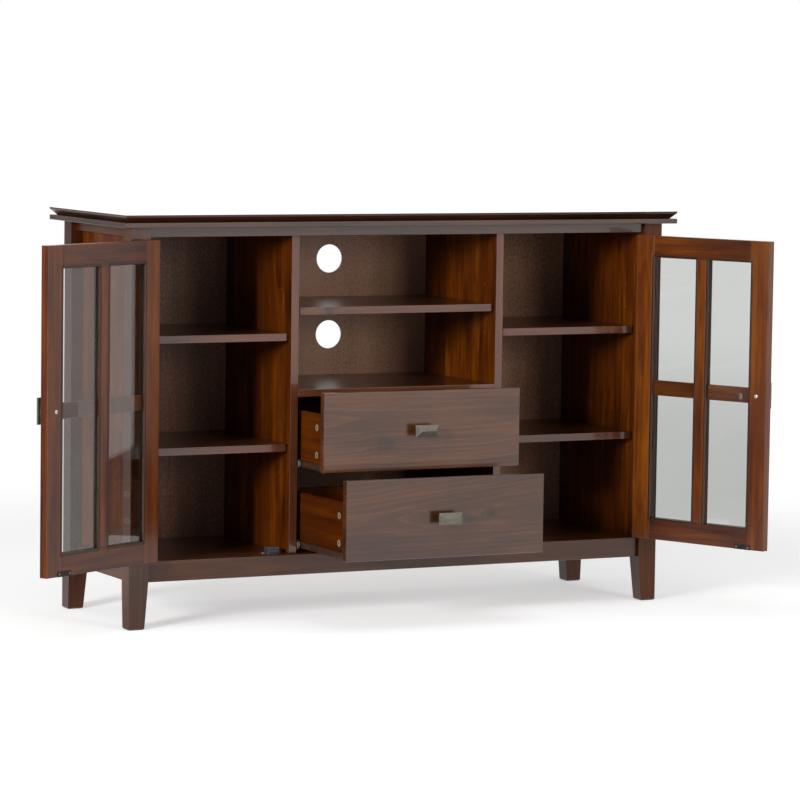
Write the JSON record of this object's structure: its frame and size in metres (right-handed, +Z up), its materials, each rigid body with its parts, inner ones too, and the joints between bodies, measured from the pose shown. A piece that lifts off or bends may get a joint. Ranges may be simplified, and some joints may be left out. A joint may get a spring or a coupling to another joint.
{
  "type": "tv stand",
  "caption": "Stained wood tv stand with glazed side doors, adjustable shelves, an open middle bay with cable holes over roller drawers, and tapered post feet under an undercut top.",
  "frame": {"origin": "on the floor at the middle of the cabinet, between the four feet", "axes": "+X along the width towards the stand's right as seen from the front, +Y towards its back, +Z up"},
  "size_m": [1.6739, 0.7487, 0.886],
  "materials": {
    "russet_top": "satin lacquer over a dark russet stain",
    "russet_wood": "satin lacquer over a dark russet stain",
    "inner_wood": "satin lacquer over a warm brown stain",
    "door_wood": "satin lacquer over a russet stain",
    "drawer_face_wood": "satin lacquer over a dark russet stain",
    "drawer_box_wood": "thin lacquer over a warm brown stain",
    "back_board": "printed grain, dull",
    "clear_glass": "clear, polished",
    "pewter": "antique pewter, satin",
    "hinge_brass": "dark antique brass",
    "strike_steel": "blackened steel",
    "catch_zinc": "pale grey",
    "peg_steel": "nickel plated",
    "runner_enamel": "brown enamel",
    "white_nylon": "moulded, matte"
  },
  "bodies": {
    "carcass": {"cabinet_floor": "inner_wood", "cabinet_runners": "runner_enamel", "centre_back_panel": "back_board", "centre_shelf": "inner_wood", "door_catches": "catch_zinc", "drawer_deck": "inner_wood", "front_bottom_rail": "russet_wood", "front_top_rail": "russet_wood", "left_divider": "inner_wood", "left_front_post": "russet_wood", "left_rear_post": "russet_wood", "left_side_panel": "inner_wood", "left_side_rails": "russet_wood", "left_side_shelves": "inner_wood", "outer_back_panels": "back_board", "post_hinge_leaves": "hinge_brass", "rear_bottom_rail": "russet_wood", "right_divider": "inner_wood", "right_front_post": "russet_wood", "right_rear_post": "russet_wood", "right_side_panel": "inner_wood", "right_side_rails": "russet_wood", "right_side_shelves": "inner_wood", "shelf_pegs": "peg_steel", "top_slab": "russet_top", "under_board": "russet_top"},
    "left_door": {"left_door_beads": "door_wood", "left_door_free_stile": "door_wood", "left_door_glass": "clear_glass", "left_door_grille": "door_wood", "left_door_hinge_leaves": "hinge_brass", "left_door_hinge_stile": "door_wood", "left_door_pull": "pewter", "left_door_rails": "door_wood", "left_door_strike_plate": "strike_steel"},
    "right_door": {"right_door_beads": "door_wood", "right_door_free_stile": "door_wood", "right_door_glass": "clear_glass", "right_door_grille": "door_wood", "right_door_hinge_leaves": "hinge_brass", "right_door_hinge_stile": "door_wood", "right_door_pull": "pewter", "right_door_rails": "door_wood", "right_door_strike_plate": "strike_steel"},
    "lower_drawer": {"lower_drawer_bottom": "drawer_box_wood", "lower_drawer_front": "drawer_face_wood", "lower_drawer_pull": "pewter", "lower_drawer_runners": "runner_enamel", "lower_drawer_walls": "drawer_box_wood"},
    "upper_drawer": {"upper_drawer_bottom": "drawer_box_wood", "upper_drawer_front": "drawer_face_wood", "upper_drawer_pull": "pewter", "upper_drawer_runners": "runner_enamel", "upper_drawer_walls": "drawer_box_wood"},
    "lower_cabinet_rollers": {"lower_cabinet_rollers": "white_nylon"},
    "upper_cabinet_rollers": {"upper_cabinet_rollers": "white_nylon"},
    "lower_drawer_rollers": {"lower_drawer_rollers": "white_nylon"},
    "upper_drawer_rollers": {"upper_drawer_rollers": "white_nylon"}
  },
  "joints": [
    {"name": "left_door_hinge", "type": "hinge", "parent": "carcass", "child": "left_door", "pos_m": [-0.60315, -0.1885, 0.49095], "axis": [0, 0, -1], "range_deg": [-152.4, 22.6]},
    {"name": "right_door_hinge", "type": "hinge", "parent": "carcass", "child": "right_door", "pos_m": [0.60315, -0.1885, 0.49095], "axis": [0, 0, 1], "range_deg": [-112.9, 62.1]},
    {"name": "lower_drawer_slide", "type": "slide", "parent": "carcass", "child": "lower_drawer", "axis": [0, -1, 0], "range_m": [-0.2196, 0.0254]},
    {"name": "upper_drawer_slide", "type": "slide", "parent": "carcass", "child": "upper_drawer", "axis": [0, -1, 0], "range_m": [-0.1042, 0.1408]},
    {"name": "lower_cabinet_roller_spin", "type": "hinge", "parent": "carcass", "child": "lower_cabinet_rollers", "pos_m": [0, -0.155, 0.162], "axis": [1, 0, 0], "range_deg": [-1640, 195]},
    {"name": "lower_drawer_roller_spin", "type": "hinge", "parent": "lower_drawer", "child": "lower_drawer_rollers", "pos_m": [0, -0.0926, 0.1613], "axis": [1, 0, 0], "range_deg": [-1800, 210]},
    {"name": "upper_cabinet_roller_spin", "type": "hinge", "parent": "carcass", "child": "upper_cabinet_rollers", "pos_m": [0, -0.155, 0.34], "axis": [1, 0, 0], "range_deg": [-780, 1050]},
    {"name": "upper_drawer_roller_spin", "type": "hinge", "parent": "upper_drawer", "child": "upper_drawer_rollers", "pos_m": [0, 0.0228, 0.3393], "axis": [1, 0, 0], "range_deg": [-855, 1155]}
  ],
  "couplings": [
    {"joint": "lower_cabinet_roller_spin", "follows": "lower_drawer_slide", "rad_per_m": 129.87},
    {"joint": "lower_drawer_roller_spin", "follows": "lower_drawer_slide", "rad_per_m": 142.86},
    {"joint": "upper_cabinet_roller_spin", "follows": "upper_drawer_slide", "rad_per_m": 129.87},
    {"joint": "upper_drawer_roller_spin", "follows": "upper_drawer_slide", "rad_per_m": 142.86}
  ]
}
